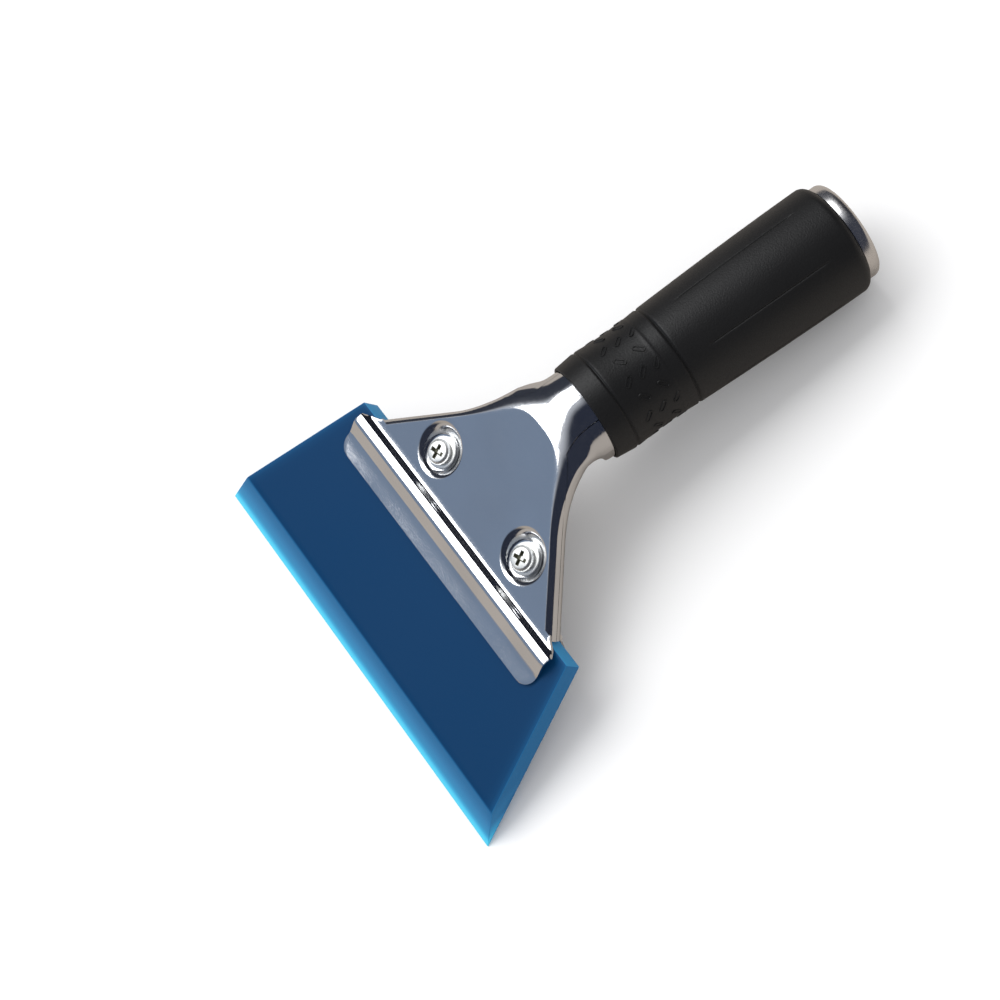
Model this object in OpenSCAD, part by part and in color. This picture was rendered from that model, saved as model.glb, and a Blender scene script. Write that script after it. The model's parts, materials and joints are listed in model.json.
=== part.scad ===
// Squeegee applicator: a soft blade clamped between two pressed steel shells,
// with two screws and a rubber grip on an angled tube handle.
// The head's own frame has X along the blade, Y from the blade to the handle and
// Z out of the screw side; the blade's front face is at Z = 0, its rear edge at Y = 0.

/* [Blade] */
// Length of the blade's rear edge
blade_rear_w = 99; // [94:0.5:125]
// Height of the blade from its rear edge to its working edge
blade_h = 52; // [40:0.5:70]
// Thickness of the blade
blade_t = 6.35; // [5:0.05:8]
// Length of the bevel behind the working edge
bevel_l = 9.6; // [5:0.1:14]
// Thickness left at the working edge
edge_t = 0.4; // [0.2:0.1:1]
// Angle by which each end flares outwards
flare = 17.4; // [0:0.1:25]

/* [Jaws] */
// Width of the jaws across the blade
jaw_w = 92; // [80:0.5:94]
// How far the jaws reach over the blade from its rear edge
jaw_reach = 13.4; // [11:0.1:17]
// Sheet thickness of the pressed shells
sheet = 0.9; // [0.7:0.05:1.2]
// Radius of the jaws' outer corners
jaw_corner = 4; // [2:0.5:6]
// Distance from the blade's rear edge to the stiffening bead's middle
bead_y = 4; // [3:0.1:4.5]
// Width of the stiffening bead
bead_w = 8; // [6:0.1:8]
// Height of the stiffening bead over the jaw
bead_h = 2.6; // [1.5:0.1:3]

/* [Fan plate] */
// How far in from each end of the jaws the fan's side starts
fan_setback = 5.2; // [3:0.1:10]
// Angle of the fan's sides to the centre line
fan_taper = 41.5; // [36:0.5:46]
// Radius that blends the fan's sides into the neck
fan_fillet = 46; // [20:0.5:50]
// Angle by which the fan plate rises from the blade
rise = 7.5; // [2:0.1:10]
// Distance from the blade's rear edge to the crease where the fan plate ends
crease_y = 38; // [34:0.1:46]
// Depth of the front shell at the fan
fan_depth = 3.4; // [2.8:0.1:4.5]
// Depth of the back shell at the fan
back_depth = 2.8; // [2.2:0.1:3.6]
// Gap between the shells along their seam
seam_gap = 0.15; // [0.1:0.05:0.3]

/* [Neck and handle] */
// Angle by which the handle bends back from the blade
bend = 27.8; // [20:0.1:35]
// Distance from the blade's rear edge to the middle of the grip's mouth
mouth_y = 44.8; // [42:0.1:56]
// How far the middle of the grip's mouth lies behind the blade's front face
mouth_drop = 8; // [6:0.1:10]
// Outer radius of the tube
tube_r = 12.2; // [10:0.05:15]
// Wall of the tube
tube_wall = 1; // [0.8:0.05:1.5]

/* [Grip] */
// Length of the rubber grip
grip_l = 82.7; // [65:0.1:120]
// Rubber that stands over the neck's radius at the grip's mouth
mouth_over = 1; // [0.8:0.05:2]
// Rubber that stands over the neck's radius at the collar's groove
collar_over = 1.6; // [1.2:0.05:3]
// Rubber that stands over the neck's radius at the waist
waist_over = 1.2; // [0.8:0.05:3]
// Rubber that stands over the neck's radius at the rear end
rear_over = 2.9; // [1.6:0.05:5]
// Length of the collar in front of its groove
collar_l = 6.4; // [4:0.1:9]
// Length of the patterned band behind the collar
band_l = 20.2; // [16:0.1:26]
// Length of the end ring that shows behind the grip
ring_show = 4; // [2.5:0.1:6]
// How far the end ring's lip stands over the tube
ring_over = 2.2; // [1.9:0.05:3]
// How far the tube reaches into the end ring
ring_seat = 3.3; // [0.2:0.1:3.5]

/* [Screws] */
// Distance from each end of the jaws to its screw
screw_inset = 26; // [22:0.5:32]
// Distance from the blade's rear edge to the screws
screw_y = 9.3; // [9:0.1:10]
// Radius of the screw's shank
screw_r = 1.95; // [1.9:0.01:1.97]
// Radius of the screw's head
head_r = 3.5; // [3.2:0.05:4]
// Height of the screw's head
head_h = 2.2; // [1.8:0.1:2.6]
// Outer radius of the washer
washer_r = 4.5; // [4:0.1:4.8]
// Thickness of the washer
washer_t = 0.6; // [0.5:0.05:0.8]
// Height of the floor of each screw's dish over the blade's front face
seat_z = 0.3; // [0:0.1:0.6]
// Slope of the dish's wall
dish_slope = 47; // [40:1:60]
// Width of the nut across its flats
nut_flats = 7; // [6:0.1:8]
// Thickness of the nut
nut_t = 3.2; // [2.4:0.1:4]

/* [Hidden] */
$fn = 64;
tiny = 0.01;

// Clearances
fit = 0.05;          // running and seated fits
jaw_gap = 0.1;       // between each jaw and the blade
shell_gap = 0.3;     // between the moving front shell and the tube and grip
tail_skin = 0.15;    // between a shell's thinner tail and the outside of its neck
tail_lap = 0.5;      // length by which a tail starts inside the neck
seat_skin = 0.02;    // between the back shell's tail and the tube that it is seated on
dish_room = 0.45;    // round each washer, for the dish's wall as the jaw opens
hole_r = 2.5;        // clearance hole in the front shell
back_hole_r = 2.2;   // clearance hole in the back shell
hole_l = 6;          // length of the cutters for both holes
over = 1;            // how far any other cutter stands past what it cuts

// Levels in the head's frame
jaw_top = jaw_gap + sheet;                       // outer face of the front jaw
plate_lift = 0.4;                                // rise of the fan plate over the jaw at its start
plate_top = jaw_top + plate_lift;                // outer face of the fan plate there
back_z = -blade_t - jaw_gap;                     // inner face of the back jaw
fan_start = 1.5;                                 // where the fan leaves the bead
fan_lap = 1;                                     // length of the fan that starts inside the bead
fan_half = jaw_w / 2 - fan_setback;              // half width of the fan there
screw_x = jaw_w / 2 - screw_inset;
neck_r = tube_r + shell_gap + sheet;             // outer radius of the round neck
bead_start = -bead_y - bead_w / 2;
bead_end = -bead_y + bead_w / 2;

function ease(t) = let (c = max(0, min(1, t))) c * c * (3 - 2 * c);
function mix(a, b, t) = a + (b - a) * t;

// Top line of the head, as [y, z]: the fan plate's straight rise to the crease, then
// a curve that leaves the crease level and meets the round neck along the handle
function plate_z(y) = plate_top + (y - fan_start) * tan(rise);
crease = [crease_y, plate_z(crease_y)];
mouth = [mouth_y, -mouth_drop];                  // middle of the grip's mouth
neck_top = mouth + neck_r * [sin(bend), cos(bend)];
pull = (neck_top[0] - crease[0]) / 2;            // length of the curve's two handles
leave = 3;                                       // slope at which the curve leaves the crease
function curve_point(t) =
    let (b = crease + pull * [cos(leave), -sin(leave)], c = neck_top - pull * [cos(bend), -sin(bend)],
         u = 1 - t)
    u * u * u * crease + 3 * u * u * t * b + 3 * u * t * t * c + t * t * t * neck_top;

// Stations along the top line: up to 0 they lie on the fan plate, from 0 to 1 on the curve
function top_point(s) =
    s <= 0 ? let (y = mix(crease_y, fan_start - fan_lap, -s)) [y, plate_z(y)] : curve_point(s);
morph_start = -0.36;  // station where the fan's section starts to turn into the neck's
function morph(s) = ease((s - morph_start) / (1 - morph_start));
function section_angle(s) = mix(-rise, bend, morph(s));
function section_height(s) = mix(fan_depth, neck_r, morph(s));
function spine_point(s) =
    let (a = section_angle(s)) top_point(s) - section_height(s) * [sin(a), cos(a)];

// Half width of the fan and neck: a straight taper and a fillet
fillet_l = fan_fillet * tan(fan_taper / 2);
taper_end = fan_start + (fan_half - neck_r) / tan(fan_taper);
fillet_start = taper_end - fillet_l * cos(fan_taper);
fillet_end = taper_end + fillet_l;
function half_width(y) =
    y <= fillet_start ? fan_half - (y - fan_start) * tan(fan_taper)
    : y >= fillet_end ? neck_r
    : neck_r + fan_fillet - sqrt(fan_fillet * fan_fillet - pow(fillet_end - y, 2));

// Distances behind the grip's mouth
front_tail = collar_l;                           // end of the front shell, inside the collar
tail_grip = 10;                                  // length of the back shell's tail past the collar
back_tail = collar_l + tail_grip;                // end of the back shell, inside the grip
tube_start = 1;                                  // front end of the tube, inside the neck
tube_end = grip_l + ring_seat;
ring_end = grip_l + ring_show;
mouth_r = neck_r + mouth_over;
collar_r = neck_r + collar_over;
waist_r = neck_r + waist_over;
rear_r = neck_r + rear_over;
ring_r = tube_r + ring_over;
end_round = 2.2;                                 // rounding of the grip's rear end
ring_round = 1.8;                                // rounding of the end ring

// How the tool lies: working edge and rear end of the grip on the floor
function handle_point(d, h) = mouth + d * [cos(bend), -sin(bend)] + h * [sin(bend), cos(bend)];
edge_point = [-blade_h, -blade_t];
heel = handle_point(grip_l - end_round, -(rear_r - end_round));
heel_v = heel - edge_point;
floor_angle = atan2(heel_v[1], heel_v[0]) - asin(end_round / norm(heel_v));
function laid(p) =
    [p[0] * cos(floor_angle) + p[1] * sin(floor_angle),
     -p[0] * sin(floor_angle) + p[1] * cos(floor_angle)];
y_front = laid([-blade_h, -blade_t + edge_t])[0];
y_back = laid(handle_point(ring_end - ring_round, ring_r - ring_round))[0] + ring_round;
floor_z = laid(edge_point)[1];
y_mid = (y_front + y_back) / 2;

// Places children, drawn in the head's frame, on the floor
module on_floor() {
    translate([0, -y_mid, -floor_z]) rotate([-floor_angle, 0, 0]) children();
}

// Places children, drawn along +Z, on the handle's axis at distance d behind the mouth
module on_handle(d) {
    p = handle_point(d, 0);
    on_floor() translate([0, p[0], p[1]]) rotate([-90 - bend, 0, 0]) children();
}

// Outline of half a shell across the spine: [x, height], from +x to -x
corner_steps = 8;
corner_share = 0.6;  // radius of the fan's rounded sides, as a share of the shell's depth
inner_corner = 0.2;  // least radius inside those sides
top_flat = 0.2;      // half width of the flat that is left on the round neck
function half_outline(w, h, r) =
    let (top_half = w - r)
    concat([[w, 0]],
           [for (i = [0 : corner_steps])
               let (a = 90 * i / corner_steps) [w - r + r * cos(a), h - r + r * sin(a)]],
           [for (k = [0.5, 0, -0.5]) [top_half * k, h]],
           [for (i = [0 : corner_steps])
               let (a = 90 + 90 * i / corner_steps) [-w + r + r * cos(a), h - r + r * sin(a)]],
           [[-w, 0]]);

// One closed ring of a pressed shell at station s; side is 1 for the front shell
// and -1 for the back one
function shell_ring(s, side, depth, inset, gap) =
    let (m = morph(s), w = half_width(top_point(s)[0]) - inset, h = mix(depth, neck_r - inset, m),
         r = mix(depth * corner_share, neck_r - inset - top_flat, m),
         outer = half_outline(w, h, r),
         inner = half_outline(w - sheet, h - sheet, max(inner_corner, r - sheet)),
         p = spine_point(s), a = section_angle(s))
    [for (q = concat(outer, [for (i = [len(inner) - 1 : -1 : 0]) inner[i]]))
        let (up = side * max(q[1], gap))
        [q[0], p[0] + up * sin(a), p[1] + up * cos(a)]];

// Skin over the rings of a shell, with C-shaped ends closed by quads
module shell_loft(stations, side, depth, inset, gap) {
    rings = [for (s = stations) shell_ring(s, side, depth, inset, gap)];
    n = len(rings[0]);
    last = len(rings) - 1;
    points = [for (ring = rings) each ring];
    sides = [for (k = [0 : last - 1]) for (i = [0 : n - 1])
        let (a = k * n + i, b = k * n + (i + 1) % n)
        each [[a, b, b + n], [a, b + n, a + n]]];
    caps = [for (i = [0 : n / 2 - 2])
        let (a = i, b = i + 1, c = n - 2 - i, d = n - 1 - i)
        each [[a, d, c, b], [for (v = [b, c, d, a]) v + last * n]]];
    faces = concat(sides, caps);
    polyhedron(points = points,
               faces = side < 0 ? [for (f = faces) [for (i = [len(f) - 1 : -1 : 0]) f[i]]]
                                : faces);
}

plate_steps = 4;
curve_steps = 10;
fan_stations = concat([-1], [for (i = [0 : plate_steps]) mix(morph_start, 0, i / plate_steps)],
                      [for (i = [1 : curve_steps]) i / curve_steps]);

// Half a round tail under the grip's collar; it starts within the neck's wall
module half_pipe(to, inner, outer, side) {
    length = to + tail_lap;
    gap = seam_gap + tail_skin;
    on_handle(-tail_lap) difference() {
        cylinder(r = outer - tail_skin, h = length);
        translate([0, 0, -over]) cylinder(r = inner, h = length + 2 * over);
        translate([-outer - over, side > 0 ? -gap : -outer - over, -over])
            cube([2 * (outer + over), outer + over + gap, length + 2 * over]);
    }
}

// Outline of a jaw seen along the screws: its sides turn in towards the fan
turn_in = 3;         // length over which they do
side_round = 1;      // rounding at both ends of that length
module jaw_outline(half) {
    r = jaw_corner;
    intersection() {
        hull() for (side = [-1, 1]) {
            translate([side * (half - r), -jaw_reach + r]) circle(r = r, $fn = 48);
            translate([side * (half - side_round), fan_start - turn_in])
                circle(r = side_round, $fn = 32);
            translate([side * (fan_half - side_round), fan_start]) circle(r = side_round, $fn = 32);
        }
        translate([-half - over, -jaw_reach - over])
            square([2 * (half + over), jaw_reach + fan_start + over]);
    }
}

// Cross-section of the bead: an arc that rises from the jaw and falls to the plate
bead_steps = 16;
plate_lap = 0.5;     // length by which the jaw runs on into the fan plate
function bead_height(y) =
    let (t = (y - bead_start) / (bead_end - bead_start))
    t <= 0 ? jaw_top : t >= 1 ? max(plate_top, plate_z(y))
    : mix(jaw_top, plate_top, t) + bead_h * pow(sin(180 * t), 2);
module jaw_section() {
    ys = concat([-jaw_reach], [for (i = [0 : bead_steps]) mix(bead_start, bead_end, i / bead_steps)],
                [fan_start, fan_start + plate_lap]);
    polygon(concat([for (y = ys) [y, bead_height(y)]],
                   [for (i = [len(ys) - 1 : -1 : 0]) [ys[i], bead_height(ys[i]) - sheet]]));
}

module front_jaw() {
    intersection() {
        rotate([90, 0, 90]) translate([0, 0, -jaw_w / 2]) linear_extrude(jaw_w) jaw_section();
        translate([0, 0, -over]) linear_extrude(bead_h + plate_top + 2 * over) jaw_outline(jaw_w / 2);
    }
}

module at_screws() {
    for (side = [-1, 1]) translate([side * screw_x, screw_y, 0]) children();
}

// Round dish pressed into the rising fan plate: a level floor and a conical wall that
// ends at the plate's own face
dish_floor_r = washer_r + dish_room;
dish_h = 5;                  // height of the dish's cones, which end past the plate's face
dish_wall = 0.4 * sheet;     // growth of the outer cone, for the wall's thickness
dish_cut = dish_wall / 2;    // growth of the cone that opens the plate for the dish
module dish_cone(drop, grow) {
    translate([0, 0, seat_z - drop])
        cylinder(r1 = dish_floor_r + grow, r2 = dish_floor_r + grow + dish_h / tan(dish_slope), h = dish_h);
}
module under_plate() {
    translate([0, fan_start, plate_top]) rotate([rise, 0, 0])
        translate([-jaw_w, -jaw_w, -2 * jaw_w]) cube(2 * jaw_w);
}
module seat_dish(x) {
    intersection() {
        translate([x, screw_y, 0]) difference() {
            dish_cone(sheet, dish_wall);
            dish_cone(0, 0);
            translate([0, 0, seat_z - hole_l / 2]) cylinder(r = hole_r, h = hole_l);
        }
        under_plate();
    }
}

module front_shell() color("silver") {
    on_floor() union() {
        difference() {
            shell_loft(fan_stations, 1, fan_depth, 0, seam_gap);
            at_screws() dish_cone(0, dish_cut);
        }
        front_jaw();
        for (side = [-1, 1]) seat_dish(side * screw_x);
    }
    half_pipe(front_tail, neck_r - sheet + tail_skin, neck_r, 1);
}

// The back shell's step wraps the blade's rear edge and reaches under the blade
back_inset = 0.2;    // how far the back shell is set in from the front shell's edge
jaw_inset = 1;       // how far the back jaw's sides are set in from the front jaw's
step_y = 0.4;        // gap between the step and the blade's rear edge
step_run = 1.5;      // length over which the step's outside comes up to the plate
step_lead = 1;       // length over which its inside does
step_lap = 4;        // how far past the fan's start the step is joined to the plate
lap_l = 2;           // length of the strip that joins them
function back_plate_z(y) = plate_z(y) - (fan_depth + back_depth) / cos(rise);
module back_jaw_section() {
    low = back_z - sheet;
    near = step_y + sheet + step_run;
    inside = step_y + step_lead;
    far = fan_start + step_lap;
    polygon([[-jaw_reach, back_z], [-jaw_reach, low], [step_y + sheet, low],
             [near, back_plate_z(near)], [far, back_plate_z(far)],
             [far, back_plate_z(far) + sheet], [inside, back_plate_z(inside) + sheet],
             [step_y, back_z]]);
}

module back_jaw() {
    intersection() {
        rotate([90, 0, 90]) translate([0, 0, -jaw_w / 2]) linear_extrude(jaw_w) back_jaw_section();
        translate([0, 0, back_z - 2 * sheet]) linear_extrude(blade_t) back_outline();
    }
}

module back_outline() {
    far = fan_start + step_lap;
    half = half_width(far) - jaw_inset;
    hull() {
        jaw_outline(jaw_w / 2 - jaw_inset);
        translate([-half, far - lap_l]) square([2 * half, lap_l]);
    }
}

// Level pad under each nut, pressed out of the back plate
pad_lead = 1;        // how far before the nut the pad is level with the plate
pad_rim = 0.5;       // width of the pad round the nut's corners
nut_top = back_plate_z(screw_y - nut_flats / 2 - pad_lead);
pad_r = nut_flats / sqrt(3) + pad_rim;
module nut_pad() {
    translate([0, 0, nut_top]) cylinder(r = pad_r, h = back_plate_z(screw_y) + sheet / 2 - nut_top);
}

module back_shell() color("lightsteelblue") {
    on_floor() difference() {
        union() {
            shell_loft(fan_stations, -1, back_depth, back_inset, seam_gap);
            back_jaw();
            at_screws() nut_pad();
        }
        at_screws() translate([0, 0, nut_top - over]) cylinder(r = back_hole_r, h = hole_l);
    }
    half_pipe(back_tail, tube_r + seat_skin, neck_r - back_inset, -1);
}

module handle_tube() color("gainsboro") on_handle(tube_start) difference() {
    cylinder(r = tube_r, h = tube_end - tube_start);
    translate([0, 0, -over]) cylinder(r = tube_r - tube_wall, h = tube_end - tube_start + 2 * over);
}

// Radius of the grip at a distance d behind its mouth
groove_d = 0.5;      // depth of the two grooves round the grip
groove_w = 0.8;      // width of the groove behind the collar
band_groove_w = 1;   // width of the groove behind the patterned band
mouth_bevel = 0.4;   // height of the bevel round the grip's mouth
mouth_bevel_l = 0.6; // length of that bevel
tail_room = 0.5;     // free length behind the back shell's tail
function grip_radius(d) =
    let (back = collar_l + band_l, t = (d - back) / (grip_l - back),
         w = (d - collar_l) / band_l)
    d <= collar_l ? mix(mouth_r, collar_r, d / collar_l)
    : d <= back ? collar_r - (collar_r - waist_r) * sin(180 * w)
    : mix(collar_r, rear_r, sin(90 * t));

grip_steps = 24;
module grip_section() {
    back = collar_l + band_l;
    outer = concat(
        [for (i = [0 : 3]) let (d = mix(mouth_bevel_l, collar_l - groove_w / 2, i / 3))
            [grip_radius(d), d]],
        [[grip_radius(collar_l) - groove_d, collar_l]],
        [for (i = [0 : 8]) let (d = mix(collar_l + groove_w / 2, back - band_groove_w / 2, i / 8))
            [grip_radius(d), d]],
        [[grip_radius(back) - groove_d, back]],
        [for (i = [0 : grip_steps])
            let (d = mix(back + band_groove_w / 2, grip_l - end_round, i / grip_steps))
            [grip_radius(d), d]],
        [for (i = [1 : 8]) let (a = 90 * i / 8)
            [rear_r - end_round + end_round * cos(a), grip_l - end_round + end_round * sin(a)]]);
    inner_front = neck_r + shell_gap;
    tail_d = back_tail + tail_room;
    polygon(concat([[inner_front, 0], [mouth_r - mouth_bevel, 0]], outer,
                   [[tube_r, grip_l], [tube_r, tail_d], [inner_front, tail_d]]));
}

module rubber_grip() color([0.12, 0.12, 0.12]) on_handle(0)
    rotate_extrude($fn = 96) grip_section();

module end_ring() color("white") {
    bore = tube_r - tube_wall;
    on_handle(grip_l) rotate_extrude() polygon(concat(
        [[tube_r, 0], [ring_r, 0]],
        [for (i = [0 : 8]) let (a = 90 * i / 8)
            [ring_r - ring_round + ring_round * cos(a), ring_show - ring_round + ring_round * sin(a)]],
        [[bore, ring_show], [bore, ring_seat], [tube_r, ring_seat]]));
}

// Blade: bevelled on its front face along the working edge, both ends flared
module blade() color("steelblue") on_floor() {
    intersection() {
        rotate([90, 0, 90]) translate([0, 0, -blade_rear_w]) linear_extrude(2 * blade_rear_w)
            polygon([[0, 0], [0, -blade_t], [-blade_h, -blade_t],
                     [-blade_h, -blade_t + edge_t], [-blade_h + bevel_l, 0]]);
        translate([0, 0, -blade_t - over]) linear_extrude(blade_t + 2 * over) polygon([
            [-blade_rear_w / 2, 0], [blade_rear_w / 2, 0],
            [blade_rear_w / 2 + blade_h * tan(flare), -blade_h],
            [-blade_rear_w / 2 - blade_h * tan(flare), -blade_h]]);
    }
}

washer_z = seat_z + fit;
head_z = washer_z + washer_t + tiny;
thread_end = 0.8;    // length of the screw that stands out of its nut
screw_tip = nut_top - nut_t - thread_end;
head_lap = 0.3;      // length of the shank inside the head
head_round = 0.9;    // rounding of the head's rim
recess_span = 4.2;   // the cross recess from end to end
recess_w = 1.1;      // its width
recess_depth = 1.2;  // its depth
left_turn = 16;      // angle of the left screw's recess
right_turn = 20;     // angle of the right screw's recess

module at_screw(side) on_floor() translate([side * screw_x, screw_y, 0]) children();

// Pan-head screw with a cross recess; turn is the recess's angle
module screw(side, turn) color("whitesmoke") at_screw(side) difference() {
    union() {
        translate([0, 0, screw_tip]) cylinder(r = screw_r, h = head_z + head_lap - screw_tip);
        translate([0, 0, head_z]) rotate_extrude() polygon(concat(
            [[0, 0], [head_r, 0]],
            [for (i = [0 : 8]) let (a = 90 * i / 8)
                [head_r - head_round * (1 - cos(a)), head_h - head_round * (1 - sin(a))]],
            [[0, head_h]]));
    }
    translate([0, 0, head_z + head_h]) rotate(turn) for (a = [0, 90]) rotate(a)
            cube([recess_span, recess_w, 2 * recess_depth], center = true);
}

module washer(side) color("gainsboro") at_screw(side) translate([0, 0, washer_z]) difference() {
    cylinder(r = washer_r, h = washer_t);
    translate([0, 0, -over]) cylinder(r = screw_r + fit, h = washer_t + 2 * over);
}

module nut(side) color("lightgrey") at_screw(side) translate([0, 0, nut_top - nut_t]) difference() {
    cylinder(r = nut_flats / sqrt(3), h = nut_t, $fn = 6);
    translate([0, 0, -over]) cylinder(r = screw_r + fit, h = nut_t + 2 * over);
}

module left_screw() screw(-1, left_turn);
module right_screw() screw(1, right_turn);
module left_washer() washer(-1);
module right_washer() washer(1);
module left_nut() nut(-1);
module right_nut() nut(1);

blade();
front_shell();
back_shell();
handle_tube();
rubber_grip();
end_ring();
left_screw();
right_screw();
left_washer();
right_washer();
left_nut();
right_nut();
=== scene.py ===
"""Visual model of a hand squeegee applicator on its CAD frame, in a plain pale studio."""

import json
import logging
import math
from dataclasses import dataclass, field
from enum import Enum
from typing import Callable, Sequence

import bmesh
import bpy
from mathutils import Matrix, Vector


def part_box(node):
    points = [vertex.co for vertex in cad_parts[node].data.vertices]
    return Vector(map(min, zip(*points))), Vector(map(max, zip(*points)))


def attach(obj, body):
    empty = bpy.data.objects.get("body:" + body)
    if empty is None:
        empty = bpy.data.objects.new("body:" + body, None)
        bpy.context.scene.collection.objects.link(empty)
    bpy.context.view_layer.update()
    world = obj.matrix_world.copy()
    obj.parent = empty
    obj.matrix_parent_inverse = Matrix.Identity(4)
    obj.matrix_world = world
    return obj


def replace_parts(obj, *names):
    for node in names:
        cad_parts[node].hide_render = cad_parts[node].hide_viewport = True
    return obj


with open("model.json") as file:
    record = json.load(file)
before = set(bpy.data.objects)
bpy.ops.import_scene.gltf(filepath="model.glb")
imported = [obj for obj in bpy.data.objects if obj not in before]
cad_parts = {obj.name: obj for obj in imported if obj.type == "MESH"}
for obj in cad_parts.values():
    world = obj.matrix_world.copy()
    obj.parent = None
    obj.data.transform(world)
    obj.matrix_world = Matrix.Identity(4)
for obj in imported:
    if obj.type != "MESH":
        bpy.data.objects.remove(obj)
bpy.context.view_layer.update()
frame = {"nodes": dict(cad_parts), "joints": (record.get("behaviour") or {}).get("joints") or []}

Point = tuple[float, float, float]
Pair = tuple[float, float]
Colour = tuple[float, float, float, float]

MM = 0.001
SAME_POINT = 1e-7  # metres within which two points of a mesh are one
SAME_PLACE = 1e-6  # metres within which loose triangles or faces meet
SMOOTH_BELOW = math.radians(38)
NOISE_SPAN = (0.35, 0.65)  # range that holds most of a noise texture's values
log = logging.getLogger("squeegee")


class Slot(Enum):
    """Material slots of the CAD record."""

    URETHANE = "blade_urethane"
    STEEL = "polished_steel"
    TUBE = "tube_steel"
    RUBBER = "grip_rubber"
    PLATED = "plated_fasteners"


class Side(Enum):
    """Left and right pieces of a mirrored pair, and which way along the blade they lie."""

    LEFT = -1
    RIGHT = 1

    @property
    def label(self) -> str:
        """Word that names this side's pieces."""
        return self.name.lower()


class Shell(Enum):
    """The two pressed shells of the head, and which way they stand off their seam."""

    FRONT = 1
    BACK = -1


def mix(a: float, b: float, t: float) -> float:
    """Value between a and b at share t."""
    return a + (b - a) * t


def ease(t: float) -> float:
    """Smooth step of t from 0 to 1."""
    c = max(0.0, min(1.0, t))
    return c * c * (3 - 2 * c)


def soft_min(a: float, b: float, k: float) -> float:
    """Smaller of a and b, rounded over a width k where they meet."""
    h = max(0.0, 1 - abs(a - b) / k)
    return min(a, b) - h * h * k / 4


def steps(start: float, end: float, count: int) -> list[float]:
    """Evenly spaced values from start to end.

    Args:
        start: First value.
        end: Last value.
        count: Number of spans between them.

    Returns:
        count + 1 values.
    """
    return [mix(start, end, i / count) for i in range(count + 1)]


@dataclass(frozen=True)
class HeadFrame:
    """Frame of the head: along the blade, from blade to handle, and out of the screw side."""

    tilt: float
    y: float
    z: float

    @classmethod
    def from_cad(cls) -> "HeadFrame":
        """Reads the head's tilt and place from the frame's joints and the blade's box.

        Returns:
            The frame whose origin is the middle of the blade's rear top edge.
        """
        lift = next(j for j in frame["joints"] if j["name"] == "left_washer_lift")
        tilt = math.atan2(-lift["axis"][1], lift["axis"][2])
        _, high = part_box("blade")
        return cls(tilt, high.y - Blade.thickness * MM * math.sin(tilt), high.z)

    def matrix(self) -> Matrix:
        """Matrix from millimetres in the head's frame to metres in the row frame."""
        place = Matrix.Translation((0, self.y, self.z))
        return place @ Matrix.Rotation(self.tilt, 4, "X") @ Matrix.Scale(MM, 4)

    def place(self, p: Sequence[float]) -> Vector:
        """Point p of the head's frame, in metres in the row frame."""
        return self.matrix() @ Vector(p)

    def turn(self, p: Sequence[float]) -> Vector:
        """Direction p of the head's frame, in the row frame."""
        return Matrix.Rotation(self.tilt, 3, "X") @ Vector(p)


@dataclass
class Skin:
    """Points and faces of one piece, gathered before they become a mesh."""

    points: list[Point] = field(default_factory=list)
    faces: list[tuple[int, ...]] = field(default_factory=list)

    def add_grid(self, rows: list[list[Point]], wrap: bool = False, close: bool = False,
                 flip: bool = False) -> int:
        """Adds a grid of quads over rows of points.

        Args:
            rows: Rows of points, all of one length.
            wrap: Whether the last column joins the first.
            close: Whether the last row joins the first.
            flip: Whether the faces point the other way.

        Returns:
            Index of the grid's first point.
        """
        start, m, n = len(self.points), len(rows), len(rows[0])
        for row in rows:
            self.points.extend(row)
        for k in range(m if close else m - 1):
            here, after = start + k * n, start + (k + 1) % m * n
            for i in range(n if wrap else n - 1):
                j = (i + 1) % n
                quad = (here + i, here + j, after + j, after + i)
                self.faces.append(quad[::-1] if flip else quad)
        return start

    def add_sheet(self, outer: list[list[Point]], inner: list[list[Point]]) -> None:
        """Adds a closed sheet between two grids of the same size.

        Args:
            outer: Rows of points of the outer face.
            inner: Rows of points of the inner face.
        """
        m, n = len(outer), len(outer[0])
        a, b = self.add_grid(outer), self.add_grid(inner, flip=True)
        rim = list(range(n)) + [k * n + n - 1 for k in range(1, m)]
        rim += [(m - 1) * n + i for i in range(n - 2, -1, -1)] + [k * n for k in range(m - 2, 0, -1)]
        for i, here in enumerate(rim):
            after = rim[(i + 1) % len(rim)]
            self.faces.append((a + after, a + here, b + here, b + after))

    def add_loft(self, rings: list[list[Point]]) -> None:
        """Adds a solid over closed rings of points, with a flat cap on each end.

        Args:
            rings: Rings of points, all of one length.
        """
        n = len(rings[0])
        start = self.add_grid(rings, wrap=True)
        last = start + (len(rings) - 1) * n
        self.faces.append(tuple(range(start + n - 1, start - 1, -1)))
        self.faces.append(tuple(range(last, last + n)))

    def add_lathe(self, loop: list[Pair], angles: list[float],
                  relief: Callable[[int, float], float] = lambda _index, _angle: 0.0) -> None:
        """Adds a closed loop turned about the third axis.

        Args:
            loop: Radius and height of each point of the loop.
            angles: Angles of the columns, in radians from the second axis.
            relief: Radius added at a point of the loop and an angle.
        """
        rows: list[list[Point]] = []
        for index, (r, h) in enumerate(loop):
            radii = [r + relief(index, a) for a in angles]
            rows.append([(radius * math.sin(a), radius * math.cos(a), h) for radius, a in zip(radii, angles)])
        self.add_grid(rows, wrap=True, close=True)

    def mesh(self, name: str, matrix: Matrix) -> bpy.types.Mesh:
        """Turns the skin into a mesh with its faces outwards and its hard edges marked.

        Args:
            name: Name of the mesh.
            matrix: Matrix from the skin's points to the row frame.

        Returns:
            The finished mesh.
        """
        data = bpy.data.meshes.new(name)
        data.from_pydata(self.points, [], self.faces)
        data.transform(matrix)
        return finish_mesh(data)


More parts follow.
